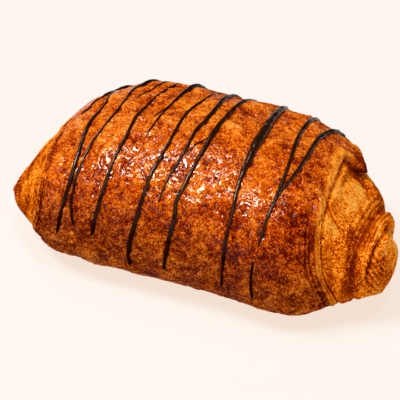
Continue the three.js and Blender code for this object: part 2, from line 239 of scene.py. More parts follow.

# What each part of a skin adds to its tone, where 0 is the darkest crust and 1 the palest dough.
# On the wrap, top and front are painted light and brow, low and back_left painted shade: each lightens or
# darkens one side of the loaf as the lamps fall on it. wrinkle and cloud paint shade into the creases and
# hollows of the relief and light onto its rises; part of the darkness in the creases is egg wash pooled
# there.
WRAP_TONE = {
    "base": 0.43, "patches": -0.14, "mottle": -0.16, "cloud": 0.16, "wrinkle": 0.4, "top": 0.12,
    "brow": -0.05, "low": -0.15, "lines": -0.4, "flap": -0.62, "back_left": -0.06, "spots": -1,
    "bare": 0.34, "front": 0.04,
}
# On the roll, valley, inner_valley, folds and hollow are painted shade in the valleys, folds, creases and
# hollows and in the cavity under the lifted corner. layer darkens the edges of the coils' layers, partly
# browning and partly painted shade in their steps, and paints shade into the gap beside each rim. lit is
# painted light where the shoulder faces the lamps, left is painted shade over the whole left end, and cloud
# paints the relief's rises lighter.
ROLL_TONE = {
    "base": 0.54, "shoulder": 0.19, "front": -0.12, "under": -0.1, "patches": 0.12, "streaks": 0.3,
    "valley": -0.16, "cloud": 0.06, "lit": 0.1, "inner_valley": -0.14, "folds": -1, "layer": -0.42,
    "hollow": -0.18, "core": 0.07, "tongue": 0.2, "nib": -0.5, "left": -0.06,
}
# Painted shade in the valleys, in the band beside the right valley and in the folds and creases, and the
# most that it may darken.
FOLD_TONE = {"valley": 0.1, "band": 0.28, "creased": 0.34}
FOLD_DARKEST = 0.46
DULL_ROUND = (48, 96)

# The pale tongue of dough inside the right valley, and how far it hides the folds and the grain.
TONGUE_ALONG = (2.7, 1.1, 1.5)
TONGUE_SPAN = (0, 32, 90, 120)
TONGUE_HIDES_GRAIN = 0.7
TONGUE_HIDES_FOLDS = 0.6

# Patches of the wrap that caught more heat: place along X and degrees round, reach, strength.
DARK_SPOTS = [
    ((34, 72), 9, 0.2),
    ((39, 52), 6, 0.18),
    ((18, 72), 6, 0.12),
    ((-28, 70), 9, 0.16),
    ((-13, 75), 6, 0.1),
    ((5, 72), 5, 0.1),
    ((31, 5), 7, 0.12),
    ((38, -20), 7, 0.22),
    ((39, 6), 5, 0.2),
    ((40.5, 38), 3.5, 0.14),
    ((3, 14), 7, 0.1),
    ((-14, 32), 6, 0.1),
]

# The band of bare dough along a rim, at its narrowest and by how much it widens where the rim gapes.
BARE = 0.9
BARE_ALONG = (0.7, 1.9)
BARE_WIDENED = (1.3, 1.8)
BARE_WAVER = 0.7

# The egg wash: patchy, thin low down and at the back, wiped off the front corners and the lifted flap.
LEAST_WASH = 0.25
WASH_PATCH_SIZE = 7
WASH_PATCHES = (-0.35, 0.15)
WASH_LOSSES = {"low": 0.93, "right_corner": 0.85, "flap": 0.8, "left_corner": 0.85}

# Radius that stands for the girth in the dough's streaks, which makes them long round it, and their width.
STREAK_GIRTH = 4.5
STREAK_SIZE = 2.4

# The crust's look: ripples of the glaze over one cloud, how the fibres are drawn out along the roll, and
# how far the dull colour goes in low down.
RIPPLES = 34
FIBRE_STRETCH = (0.55, 1, 1)
DULL_SHARE = 0.7

# The chocolate's satin skin: its strength, between which heights it grows, and where it fades to a share
# of that towards the back.
SATIN = 0.6
SATIN_UP = (26, 41)
SATIN_BACKWARD = (1, 14)
SATIN_BACK_SHARE = 0.1

# Strands of chocolate: place along X, degrees round from the top, width.
STRANDS = [
    [(-33.5, -62, 2), (-36.5, -34, 1.8), (-38.2, -20, 1.2), (-39.5, -6, 1), (-40.4, 4, 0.8)],
    [(-36.4, -36, 1), (-34.6, -8, 1.1), (-34.9, 12, 1.6), (-35.2, 30, 1.9), (-34.7, 48, 1.9),
     (-35.5, 66, 1.8), (-37, 92, 1.4)],
    [(-26.5, -66, 1.8), (-27.8, -42, 2.1), (-29.3, -19, 1.2), (-28.4, -2, 1.1), (-29.1, 16, 1.2),
     (-31.4, 36, 1.4), (-32.6, 50, 1.2), (-33.2, 66, 1.4), (-31.3, 83, 1.1)],
    [(-22.5, -44, 0.6), (-23.8, -26, 0.8), (-25.8, -9, 0.6)],
    [(-19.5, -44, 0.9), (-20.9, -10, 1.1), (-21.6, 10, 1.5), (-21, 30, 1.6), (-21.7, 47, 1.5),
     (-22.3, 64, 1.8), (-24.3, 87, 1.6)],
    [(-12.6, -62, 2.1), (-13.6, -36, 2.4), (-14.3, -16, 1.4), (-15.2, 0, 0.9), (-16.7, 11, 0.6)],
    [(-14.4, -4, 0.6), (-14.8, 10, 0.9), (-15.2, 27, 0.6)],
    [(-7.5, -62, 1), (-6.2, -30, 1), (-6.8, -12, 1.2), (-8, 4, 1.5), (-7.1, 26, 1.6), (-8.4, 48, 1.8),
     (-9, 62, 1.9), (-10.6, 80, 2.1), (-11.9, 92, 1.9), (-11.7, 103, 1.4)],
    [(-0.6, -62, 1.6), (-1.7, -38, 1.9), (-0.6, -10, 2.1), (-1.5, 14, 1.6), (-1.4, 28, 1.5),
     (-3, 48, 1.1), (-3.8, 62, 0.6)],
    [(3.2, 18, 0.6), (1, 24, 0.9), (-1.2, 32, 0.8)],
    [(5.2, -66, 1.5), (4.5, -30, 1.9), (4, -6, 2.2), (3.9, 16, 2.5), (3.7, 30, 2), (2.8, 46, 1.9),
     (1.5, 59, 1.8), (2.1, 66, 1.9), (0.9, 80, 1.9), (-0.5, 99, 1.8)],
    [(14.2, -68, 2), (16.6, -36, 3.2), (17.8, -8, 4), (17.9, 9, 4.2), (18.1, 22, 3.2), (18.3, 40, 2),
     (18.9, 56, 1.6), (18.3, 74, 1.6), (16.9, 101, 1.1)],
    [(27.3, -68, 1.2), (28.6, -38, 1.9), (29.3, -12, 1.9), (30.8, 18, 1.5), (30.9, 38, 1.6),
     (29.6, 54, 1.2), (28.1, 68, 1.1)],
    [(26.9, 76, 1), (25.5, 89, 1.2), (25.4, 101, 1)],
    [(38.6, -60, 1.5), (36.6, -38, 2.5), (35.4, -16, 2.1), (34.7, 8, 1.8), (33.6, 22, 1.4), (31, 41, 1.1)],
]

# Points along a strand, over what length it thins out at its ends and how blunt they are, how often its
# route is evened out over the dents, and the bead that is laid along it.
STRAND_POINTS = 60
TAPER = 2.2
TAPER_BLUNT = 0.08
SAG_PASSES = 4
BEAD = {"Step": 0.4 * MM, "Flatness": 0.75, "Lumps": 0.6, "Seed": 4}
BEAD_SIDES = 14
LUMP_LENGTH = 3.0

# Half the side of the tabletop, in metres.
TABLE_REACH = 1.5

# The photograph's view: level camera, to the right of the front and above. Its distance is in metres.
CAMERA_AZIMUTH = 23.5
CAMERA_ELEVATION = 37
CAMERA_DISTANCE = 0.55
CAMERA_LENS = 157
CAMERA_SENSOR = 36
CAMERA_AIM = (-2.6, 0, 18.8)

# Soft boxes, all aimed at one point: name, place and size in metres, watts, colour.
LIGHT_AIM = (0, 0, 0.02)
LIGHTS = (
    ("key-box", (-0.48, -0.45, 1.35), (0.5, 0.34), 18, "#FFF6EC"),
    ("top-box", (0.24, -0.25, 1.41), (0.22, 0.22), 4.5, "#FFF6EC"),
    ("back-box", (-0.42, 0.36, 1.4), (0.26, 0.2), 2.6, "#FFF6EC"),
    ("left-box", (-1.3, -1.1, 0.95), (0.6, 0.6), 4, "#FFE4CC"),
    ("right-box", (1.4, -1.1, 1.0), (0.9, 0.9), 8, "#FFE4CC"),
)
ROOM_COLOUR = "#FFD9B0"
ROOM_STRENGTH = 0.1


def ramp(value, low, high):
    """Smooth step from 0 at low to 1 at high."""
    share = np.clip((value - low) / (high - low), 0, 1)
    return share * share * (3 - 2 * share)


def between(value, start, full, falling, end):
    """A plateau: 1 from full to falling, 0 outside start and end."""
    return ramp(value, start, full) * (1 - ramp(value, falling, end))


def bump(value, centre, before, after):
    """A rounded bump: 1 at its centre, 0 beyond its reach on either side."""
    return between(value, centre - before, centre, centre, centre + after)


def swell(degrees, centre, spread):
    """A soft swell round an angle, which wraps round the girth."""
    turn = (degrees - centre + 540) % 360 - 180
    return np.exp(-((turn / spread) ** 2))


def mound(distance, reach):
    """A soft mound over a distance: 1 in its middle."""
    return np.exp(-((distance / reach) ** 2))


def weighed(weights, parts):
    """The base and the parts, each times its weight."""
    return weights.get("base", 0) + sum(weights[name] * part for name, part in parts.items())


def smooth(rows, share):
    """Smooth curve through rows of numbers, at shares 0 to 1 along it."""
    rows = np.asarray(rows, float)
    last = len(rows) - 1
    at = np.clip(share, 0, 1) * last
    index = np.clip(at.astype(int), 0, last - 1)
    f = (at - index)[..., None]
    before, start = rows[np.maximum(index - 1, 0)], rows[index]
    end, after = rows[index + 1], rows[np.minimum(index + 2, last)]
    slope_in, slope_out = (end - before) / 2, (after - start) / 2
    curve = 2 * start - 2 * end + slope_in + slope_out
    bend = -3 * start + 3 * end - 2 * slope_in - slope_out
    return ((curve * f + bend) * f + slope_in) * f + start


FINE_SHARES = np.linspace(0, 1, 6001)
FINE_PLACES = smooth(SECTIONS, FINE_SHARES)[:, 0]


def share_at(place):
    """The share along the section curve that lies at a place along X."""
    return np.interp(place, FINE_PLACES, FINE_SHARES)


def loaf_point(share, degrees):
    """Points on the smooth loaf, before any relief."""
    place, half_width, height, lift, drift = np.moveaxis(smooth(SECTIONS, share), -1, 0)
    side, up = np.sin(np.radians(degrees)), np.cos(np.radians(degrees))
    waist = WAIST_SHARE * height
    reach = np.maximum(np.where(up >= 0, height - waist, waist), 1e-6)
    near_end = ramp(np.abs(place), *ROUND_ENDS_FROM)
    below = ROUNDNESS_BELOW + (ROUNDNESS_ENDS - ROUNDNESS_BELOW) * near_end
    power = np.where(up >= 0, ROUNDNESS_ABOVE, below)
    across = np.abs(side) / np.maximum(half_width, 1e-6)
    radius = (across ** power + (np.abs(up) / reach) ** power) ** (-1 / power)
    return np.stack([place, drift - radius * side, lift + waist + radius * up], -1)


def unit(vectors):
    return vectors / np.maximum(np.linalg.norm(vectors, axis=-1, keepdims=True), 1e-9)


def loaf_normal(share, degrees):
    """The outward direction of the smooth loaf."""
    near = 0.004
    middle = np.clip(share, near, 1 - near)
    along_roll = loaf_point(middle + near, degrees) - loaf_point(middle - near, degrees)
    round_girth = loaf_point(middle, degrees + 1) - loaf_point(middle, degrees - 1)
    return unit(np.cross(round_girth, along_roll))


def swells(degrees, rows):
    """The sum of swells, from rows of angle, spread and size."""
    return sum(size * swell(degrees, angle, spread) for angle, spread, size in rows)


def lean(place, degrees):
    """The rims lean: both ends of the wrap reach furthest at the front and low down."""
    right = LEAN_RIGHT - LEAN_SWING * np.cos(np.radians(degrees + LEAN_TURN))
    right += swells(degrees, LEAN_RIGHT_SWELLS)
    left = LEAN_LEFT + swells(degrees, LEAN_LEFT_SWELLS)
    return right * bump(place, RIM_RIGHT, *LEAN_RIGHT_REACH) + left * bump(place, RIM_LEFT, *LEAN_LEFT_REACH)


def opening_at(degrees):
    """How far the right rim gapes: 1 at the back of the top, 0 at the front and below."""
    return swell(degrees, *OPENING_AT)


def flap_share(degrees, front=FLAP_FRONT):
    """Where round the girth the wrap's corner reaches out of the right rim: 1 at its tip."""
    return bump(degrees, FLAP_ANGLE, FLAP_BACK, front)


def share_of_step(value):
    """How far a value is through its present step, 0 to 1."""
    return value - np.floor(value)


def layer_ledges(outward):
    """Thin edges of the wrap's own layers, stepping down to its rim."""
    along = share_of_step(outward / LAYER_STEP)
    profile = LEDGE_LEVEL * (1 + ramp(along, *LEDGE_RISE)) - ramp(along, *LEDGE_DROP)
    return -LAYER_LEDGE * between(outward, *LEDGES_ALONG) * profile


def layer_lines(outward):
    """Where the browned edges of those layers lie: 1 on a line, 0 between."""
    return between(outward, *LINES_ALONG) * bump(share_of_step(outward / LAYER_STEP), *LINE_IN_STEP)


def coil_turns(points, coil):
    """How many turns of dough lie between a coil's centre and each point, with the spiral's share."""
    y, z = points[..., 1] - coil[0], (points[..., 2] - coil[1]) / COIL_TALLER
    return np.hypot(y, z) / COIL_PITCH - np.arctan2(z, y) / (2 * math.pi)


def coil_relief(turns):
    """The core's turns as rounded ledges, one for each layer."""
    along = share_of_step(turns)
    return COIL_LEDGE * (ramp(along, *TURN_RISE) - ramp(along, *TURN_DROP) - 0.5)


def blisters(place, degrees):
    """Slow swells and hollows of the baked crust, in whole numbers of waves round the girth."""
    turn = np.radians(degrees)
    broad = np.sin(place / BROAD_WAVE + 2.3 * np.sin(3 * turn)) * np.sin(6 * turn + place / SLANT_WAVE)
    small = np.sin(place / SMALL_WAVE - 8 * turn) * np.sin(11 * turn + 1.7)
    return BLISTER_RISE * (0.65 * broad + 0.35 * small)


def noise_at(points, size, octaves=3, seed=0):
    """Cloudy noise about -1 to 1 with features of one size, at each point."""
    flat = (points / size + seed * SEED_STEP).reshape(-1, 3)
    values = [noise.fractal(Vector(p), 1.0, 2.0, octaves, noise_basis="PERLIN_ORIGINAL") for p in flat]
    return np.array(values).reshape(points.shape[:-1])


def crumple(points):
    """Creased and cloudy parts of the skin's roughness, about -0.5 to 0.3 and -1 to 1."""
    warped = points + WARP * np.stack([noise_at(points, WARP_SIZE, 2, seed) for seed in (7, 8, 9)], -1)
    wrinkle = 0.3 - np.abs(noise_at(warped, CREASE_SIZE, 2, 1))
    return {"wrinkle": wrinkle, "cloud": noise_at(warped, CLOUD_SIZE, 3, 2)}


def distance_to(points, stops):
    """Shortest distance from each point to a route over the roll."""
    route = smooth(stops, np.linspace(0, 1, ROUTE_STEPS))
    line = loaf_point(share_at(route[:, 0] + lean(route[:, 0], route[:, 1])), route[:, 1])
    gaps = [np.linalg.norm(points - spot, axis=-1) for spot in line]
    return np.min(gaps, axis=0)


def wrap_skin(place, degrees, sunk=0):
    """The wrap's outer skin at places along the roll and degrees round it, or a layer sunk under it."""
    past_right, past_left = place - RIM_RIGHT, RIM_LEFT - place
    flap, opening = flap_share(degrees), opening_at(degrees)
    reach = flap * FLAP_REACH * ramp(past_right, *FLAP_REACH_ALONG)
    share = share_at(place + lean(place, degrees) + reach)
    points = loaf_point(share, degrees)
    height = LIP * (bump(past_right, *LIP_ALONG) + bump(past_left, *LIP_ALONG))
    height += OPENING_LIFT * opening * (1 - flap) * ramp(past_right, *OPENING_ALONG)
    height += FLAP_LIFT * flap * ramp(past_right, *FLAP_LIFT_ALONG)
    height -= RIM_DIP * swell(degrees, *BACK_AT) * ramp(past_right, *RIM_DIP_ALONG)
    height += RIGHT_LEDGES * layer_ledges(past_right) * ramp(degrees, *RIGHT_LEDGES_ROUND)
    height += layer_ledges(past_left) + blisters(place, degrees) - SEAM_DEPTH * swell(degrees, *SEAM_AT)
    relief = crumple(points)
    height += weighed(WRAP_RELIEF, relief) - sunk
    lines = layer_lines(past_left) + layer_lines(past_right) * ramp(degrees, *RIGHT_LINES_ROUND)
    facts = {**relief, "edge": np.minimum(-past_right, -past_left), "lines": lines,
             "flap": flap * ramp(past_right, *FLAP_BROWN_ALONG)}
    return points + loaf_normal(share, degrees) * height[..., None], facts


def rim_gap(place, degrees):
    """How deep the roll lies beside and under the wrap's rims, and how much painted shade darkens its hollow
    there and the cavity under the lifted corner.
    """
    past_right, past_left = place - RIM_RIGHT, RIM_LEFT - place
    opening, under = opening_at(degrees), flap_share(degrees, CAVITY_FRONT)
    shut = -SHUT_DEPTH * (1 - ramp(past_right, *SHUT_RIGHT_ALONG))
    gaping = (GROOVE_DEPTH + RIDGE) * ramp(past_right, *RIDGE_RISE) - GROOVE_DEPTH
    gaping -= (RIDGE + HOLLOW) * ramp(past_right, *RIDGE_FALL)
    far = HOLLOW_REACH + HOLLOW_WIDENED * opening
    gaping += HOLLOW * ramp(past_right, far, far + HOLLOW_RISE)
    clear = under * FLAP_REACH
    cavity = -FLAP_CAVITY * (1 - ramp(past_right, clear + CAVITY_ALONG[0], clear + CAVITY_ALONG[1]))
    gaping += under * (cavity - gaping)
    left = -SHUT_DEPTH * (1 - ramp(past_left, *SHUT_LEFT_ALONG))
    height = np.where(place > 0, shut + opening * (gaping - shut), left)
    height -= UNDER_DEPTH * (1 - ramp(np.maximum(past_right, past_left), *UNDER_ALONG))
    # The hollow and the cavity under the lifted corner are darkened with painted shade, carried as brown.
    brown = opening * bump(past_right, *HOLLOW_PAINTED_SHADE_ALONG)
    brown += CAVITY_PAINTED_SHADE * under * (1 - ramp(past_right, clear, clear + CAVITY_PAINTED_SHADE_FADE))
    return height, brown


def roll_skin(place, degrees):
    """The inner roll's skin, which runs in under the wrap and out past its rims to the coiled ends."""
    share = share_at(place + lean(place, degrees))
    points = loaf_point(share, degrees)
    height, hollow = rim_gap(place, degrees)
    past = place - VALLEY_RIGHT - swell(degrees, *VALLEY_BEND_AT)
    past_left = VALLEY_LEFT - place
    lasting = 1 - LOW_LOSS * ramp(np.abs(degrees), *LOW_ROUND)
    left_share = LEFT_VALLEY_SHARE * (1 - ramp(np.abs(degrees), *LEFT_LOW_ROUND))
    for outward, strength in ((past, lasting), (past_left, left_share)):
        rise = SHOULDER_SWELL * bump(outward, *SHOULDER_ALONG) - VALLEY_DEPTH * bump(outward, *VALLEY_ALONG)
        height += strength * rise
    height += FOLD_SWELL * swell(degrees, *FOLD_SWELL_AT) * bump(place, *FOLD_SWELL_ALONG)
    height -= ROLL_DIP * swell(degrees, *BACK_AT) * bump(place, *ROLL_DIP_ALONG)
    second = between(degrees, *SECOND_VALLEY_SPAN)
    second += SECOND_VALLEY_BACK * swell(degrees, *SECOND_VALLEY_BACK_AT)
    height -= SECOND_VALLEY_DEPTH * second * bump(place, SECOND_VALLEY, *SECOND_VALLEY_REACH)
    for stops, reach, rise in LUMPS:
        height += rise * mound(distance_to(points, stops), reach)
    wavy = past + FOLD_WAVER * noise_at(points, FOLD_WAVER_SIZE, 2, 11)
    folded = sum(weight * bump(wavy, step * FOLD_STEP, *FOLD_REACH) for step, weight in FOLDS)
    creased = between(degrees, *FOLD_SPAN) * folded
    height -= FOLD_DEPTH * creased
    turns = np.where(place > 0, coil_turns(points, COIL_RIGHT), coil_turns(points, COIL_LEFT))
    core = np.maximum(ramp(past, *CORE_RIGHT_ALONG), ramp(past_left, *CORE_LEFT_ALONG))
    height += coil_relief(turns) * core * lasting
    for stops, deep, width in CREASES:
        line = mound(distance_to(points, stops), width)
        height -= deep * line
        # Each crease is also darkened with painted shade.
        creased += CREASE_PAINTED_SHADE * line
    relief = crumple(points)
    height += weighed(ROLL_RELIEF, relief)
    # second, creased and hollow carry where painted shade falls.
    facts = {"cloud": relief["cloud"], "core": core, "turns": turns, "past": past, "past_left": past_left,
             "outer": np.maximum(place - RIM_RIGHT, RIM_LEFT - place), "creased": creased, "hollow": hollow,
             "second": second * bump(place, SECOND_VALLEY, *SECOND_VALLEY_PAINTED_SHADE_REACH)}
    return points + loaf_normal(share, degrees) * height[..., None], facts


def settled(points):
    """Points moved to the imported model's place, pressed flat where the loaf rests, in metres."""
    placed = points - MIDDLE
    placed[..., 2] = np.maximum(placed[..., 2], 0)
    return placed * MM


def srgb(code):
    """A hex colour as linear red, green, blue and alpha."""
    parts = [int(code[k:k + 2], 16) / 255 for k in (1, 3, 5)]
    return [p / 12.92 if p <= 0.04045 else ((p + 0.055) / 1.055) ** 2.4 for p in parts] + [1]


def add(tree, kind, links=(), **settings):
    """Adds a node. Links is a list of (socket name or number, value or socket that feeds it)."""
    node = tree.nodes.new(kind)
    for name, value in settings.items():
        setattr(node, name, value)
    for socket, value in links:
        if isinstance(value, bpy.types.NodeSocket):
            tree.links.new(value, node.inputs[socket])
        else:
            node.inputs[socket].default_value = value
    return node


def ramp_stops(node, stops):
    """Sets a colour ramp's stops from (place, hex colour) pairs."""
    elements = node.color_ramp.elements
    while len(elements) < len(stops):
        elements.new(0.5)
    for element, (place, code) in zip(elements, stops):
        element.position = place
        element.color = srgb(code)


def new_material(name):
    """A material and its empty node tree."""
    material = bpy.data.materials.new(name)
    material.use_nodes = True
    material.node_tree.nodes.clear()
    return material, material.node_tree


def place_on_piece(tree):
    """Where a point of the piece lies, in metres and in millimetres."""
    spot = add(tree, "ShaderNodeTexCoord").outputs["Object"]
    in_mm = add(tree, "ShaderNodeVectorMath", [(0, spot), (1, TO_MM)], operation="MULTIPLY").outputs[0]
    return spot, in_mm


def varied(tree, value, pattern, middle, amount):
    """A value that rises and falls with a pattern about its middle."""
    away = add(tree, "ShaderNodeMath", [(0, pattern), (1, middle)], operation="SUBTRACT").outputs[0]
    return add(tree, "ShaderNodeMath", [
        (0, away), (1, amount), (2, value)], operation="MULTIPLY_ADD").outputs[0]


def curly_fibres(tree, in_mm, size, amount, value):
    """Adds thin pale curls to a value: lines where a warped cloud of one size crosses its middle."""
    field = add(tree, "ShaderNodeTexNoise", [
        ("Vector", in_mm), ("Scale", 1 / size), ("Detail", 1), ("Distortion", 1.2)]).outputs[0]
    off = add(tree, "ShaderNodeMath", [(0, field), (1, 0.5)], operation="SUBTRACT").outputs[0]
    away = add(tree, "ShaderNodeMath", [(0, off)], operation="ABSOLUTE").outputs[0]
    line = add(tree, "ShaderNodeMapRange", [
        ("Value", away), ("From Max", 0.08), ("To Min", 0.6 * amount), ("To Max", -0.4 * amount)],
        interpolation_type="SMOOTHSTEP").outputs[0]
    return add(tree, "ShaderNodeMath", [(0, line), (1, value)], operation="ADD").outputs[0]


def crust_material():
    """Egg wash over baked butter dough: brushed on, so it is a thin shiny varnish that crinkles over
    the blistered crust, orange where thin and red-brown where a blister caught the heat."""
    material, tree = new_material("egg_washed_crust")
    _, in_mm = place_on_piece(tree)
    facts = {}
    for name in ("tone", "gloss", "dull", "bare"):
        facts[name] = add(tree, "ShaderNodeAttribute", attribute_name=name).outputs["Fac"]
    along = add(tree, "ShaderNodeUVMap", uv_map="skin_mm").outputs[0]
    stretched = add(tree, "ShaderNodeMapping", [("Vector", along), ("Scale", FIBRE_STRETCH)]).outputs[0]

    # Sizes in millimetres: folds of the film, its ripples, flakes of crust, specks and the dough's fibres.
    clouds = {}
    for name, source, size, detail, roughness, warp in (
            ("film", in_mm, 5, 1, 0.5, 1.4),
            ("field", in_mm, 7, 1.5, 0.5, 0.8),
            ("flake", in_mm, 1.7, 3, 0.6, 0.8),
            ("speck", in_mm, 0.45, 1.5, 0.6, 0.3),
            ("fibre", stretched, 0.9, 3, 0.65, 1.2)):
        clouds[name] = add(tree, "ShaderNodeTexNoise", [
            ("Vector", source), ("Scale", 1 / size), ("Detail", detail), ("Roughness", roughness),
            ("Distortion", warp)]).outputs[0]
    phase = add(tree, "ShaderNodeMath", [
        (0, clouds["field"]), (1, RIPPLES)], operation="MULTIPLY").outputs[0]
    ripple = add(tree, "ShaderNodeMath", [(0, phase)], operation="SINE").outputs[0]

    value = facts["tone"]
    # The ripples paint a little shade into their troughs and light onto their crests; the flakes make the
    # tone paler where they rise, and the specks vary it.
    for pattern, middle, amount in (
            (ripple, 0, 0.05), (clouds["flake"], 0.5, 0.85), (clouds["speck"], 0.5, 1.4)):
        value = varied(tree, value, pattern, middle, amount)
    value = curly_fibres(tree, in_mm, 1.4, 0.28, value)

    # How strongly the fibres show, and the colours: under the glaze, dull low down, and bare at the rims.
    colours = []
    for amount, stops in (
            (0, [(0, "#4C0800"), (0.25, "#982800"), (0.5, "#DA6006"), (0.75, "#F88C1A"), (1, "#FFB850")]),
            (1.6, [(0, "#481000"), (0.3, "#7E2C04"), (0.6, "#BC6010"), (1, "#F0A040")]),
            (1.4, [(0.1, "#9C3A02"), (0.45, "#E07610"), (0.9, "#FFA838")])):
        grained = varied(tree, value, clouds["fibre"], 0.5, amount)
        colours.append(add(tree, "ShaderNodeValToRGB", [("Fac", grained)]))
        ramp_stops(colours[-1], stops)
    low = add(tree, "ShaderNodeMath", [(0, facts["dull"]), (1, DULL_SHARE)], operation="MULTIPLY").outputs[0]
    colour = colours[0].outputs[0]
    for share, over in ((low, colours[1]), (facts["bare"], colours[2])):
        colour = add(tree, "ShaderNodeMix", [
            (0, share), (6, colour), (7, over.outputs[0])], data_type="RGBA").outputs[2]

    # The film's folds and ripples bend the glaze, and the flakes bend only the crust under it.
    normals = [None]
    for height, distance in ((clouds["film"], 0.5 * MM), (ripple, 0.05 * MM), (clouds["flake"], 1.3 * MM)):
        under = [("Normal", normals[-1])] if normals[-1] else []
        normals.append(add(tree, "ShaderNodeBump", [
            ("Strength", 1), ("Distance", distance), ("Height", height)] + under).outputs[0])
    shader = add(tree, "ShaderNodeBsdfPrincipled", [
        ("Base Color", colour), ("Roughness", 0.5), ("Normal", normals[3]), ("Specular IOR Level", 0),
        ("Coat Weight", facts["gloss"]), ("Coat Roughness", 0.06), ("Coat IOR", 1.55),
        ("Coat Normal", normals[2])])
    add(tree, "ShaderNodeOutputMaterial", [("Surface", shader.outputs[0])])
    return material


def dough_material():
    """Bare laminated dough: the turns that no egg wash reached bake matt and golden, with the open grain of
    butter layers showing as short pale and brown fibres."""
    material, tree = new_material("bare_laminated_dough")
    _, in_mm = place_on_piece(tree)
    value = add(tree, "ShaderNodeAttribute", attribute_name="tone").outputs["Fac"]

    # Sizes in millimetres: open grain, crumbs and browned patches.
    grains = []
    for size, detail, warp, amount in ((1.5, 1.5, 2.2, 1.4), (0.45, 1, 0.5, 1.3), (3.5, 2, 1, 1.0)):
        grains.append(add(tree, "ShaderNodeTexNoise", [
            ("Vector", in_mm), ("Scale", 1 / size), ("Detail", detail), ("Distortion", warp)]).outputs[0])
        value = varied(tree, value, grains[-1], 0.5, amount)
    value = curly_fibres(tree, in_mm, 1.5, 0.42, value)
    colour = add(tree, "ShaderNodeValToRGB", [("Fac", value)])
    ramp_stops(colour, [
        (0, "#7C2400"), (0.25, "#AE4402"), (0.5, "#E06E04"), (0.7, "#FA8E10"), (0.85, "#FFA42A"),
        (1, "#FFC05A")])
    fine = add(tree, "ShaderNodeBump", [("Strength", 1), ("Distance", 0.3 * MM), ("Height", grains[0])])
    shader = add(tree, "ShaderNodeBsdfPrincipled", [
        ("Base Color", colour.outputs[0]), ("Roughness", 0.6), ("Normal", fine.outputs[0]),
        ("Specular IOR Level", 0)])
    add(tree, "ShaderNodeOutputMaterial", [("Surface", shader.outputs[0])])
    return material


def chocolate_material():
    """Dark chocolate, melted and set in air: nearly black brown, with a satin skin on top that takes long
    highlights, and dull where it ran down the sides and the back in a thin film."""
    material, tree = new_material("set_dark_chocolate")
    spot, in_mm = place_on_piece(tree)
    tone = add(tree, "ShaderNodeTexNoise", [("Vector", in_mm), ("Scale", 1 / 1.6), ("Detail", 3)]).outputs[0]
    colour = add(tree, "ShaderNodeValToRGB", [("Fac", tone)])
    ramp_stops(colour, [(0.4, "#1A0702"), (0.6, "#2E1107")])
    skin = add(tree, "ShaderNodeBump", [("Strength", 1), ("Distance", 0.03 * MM), ("Height", tone)])
    parts = add(tree, "ShaderNodeSeparateXYZ", [(0, spot)]).outputs
    shares = []
    for axis, (starts, ends), low, full in (
            ("Z", SATIN_UP, 0, SATIN), ("Y", SATIN_BACKWARD, 1, SATIN_BACK_SHARE)):
        shares.append(add(tree, "ShaderNodeMapRange", [
            ("Value", parts[axis]), ("From Min", starts * MM), ("From Max", ends * MM),
            ("To Min", low), ("To Max", full)]).outputs[0])
    satin = add(tree, "ShaderNodeMath", list(enumerate(shares)), operation="MULTIPLY")
    shader = add(tree, "ShaderNodeBsdfPrincipled", [
        ("Base Color", colour.outputs[0]), ("Roughness", 0.2), ("Normal", skin.outputs[0]),
        ("Specular IOR Level", satin.outputs[0]), ("Specular Tint", (1, 0.8, 0.66, 1))])
    add(tree, "ShaderNodeOutputMaterial", [("Surface", shader.outputs[0])])
    return material


def table_material():
    """Opal acrylic lit from below, as on a light table: matt, almost white, and nearly free of shadows."""
    material, tree = new_material("opal_acrylic_tabletop")
    shader = add(tree, "ShaderNodeBsdfPrincipled", [
        ("Base Color", srgb("#5A798B")), ("Roughness", 0.9), ("Specular IOR Level", 0),
        ("Emission Color", srgb("#FFEBDC")), ("Emission Strength", 0.86)])
    add(tree, "ShaderNodeOutputMaterial", [("Surface", shader.outputs[0])])
    return material


def link(name, data):
    made = bpy.data.objects.new(name, data)
    bpy.context.scene.collection.objects.link(made)
    return made


def closed_skin(name, rings, ends, material):
    """A closed mesh from rings of points, with one point at each end."""
    rows, sides = rings.shape[:2]
    vertices = settled(np.concatenate([ends[:1], rings.reshape(-1, 3), ends[1:]]))
    grid = 1 + np.arange(rows * sides).reshape(rows, sides)
    beside = np.roll(grid, -1, 1)
    last = len(vertices) - 1
    faces = [(0, a, b) for a, b in zip(grid[0], beside[0])]
    faces += np.stack([grid[:-1], grid[1:], beside[1:], beside[:-1]], -1).reshape(-1, 4).tolist()
    faces += [(last, b, a) for a, b in zip(grid[-1], beside[-1])]
    mesh = bpy.data.meshes.new(name)
    mesh.from_pydata(vertices.tolist(), [], faces)
    mesh.materials.append(material)
    mesh.polygons.foreach_set("use_smooth", np.ones(len(mesh.polygons), bool))
    mesh.update()
    return link(name, mesh)


def write_attributes(mesh, values):
    """Writes named numbers for each ring point, with the first and last ring's mean at the ends."""
    for name, grid in values.items():
        flat = np.concatenate([[grid[0].mean()], grid.ravel(), [grid[-1].mean()]])
        mesh.attributes.new(name, "FLOAT", "POINT").data.foreach_set("value", flat.astype(np.float32))


def write_uv(mesh, rings):
    """A flat map of the skin in millimetres: along the roll, and round the girth from underneath."""
    along = np.linalg.norm(np.diff(rings, axis=0), axis=-1).mean(1).cumsum()
    along = np.broadcast_to(np.concatenate([[0], along])[:, None], rings.shape[:2])
    girth = np.linalg.norm(np.roll(rings, -1, 1) - rings, axis=-1).cumsum(1)
    flat = np.stack([along, girth - girth[:, :1]], -1).reshape(-1, 2)
    flat = np.concatenate([flat[:1], flat, flat[-1:]])
    layer = mesh.uv_layers.new(name="skin_mm")
    corners = np.zeros(len(mesh.loops), int)
    mesh.loops.foreach_get("vertex_index", corners)
    layer.data.foreach_set("uv", flat[corners].ravel())


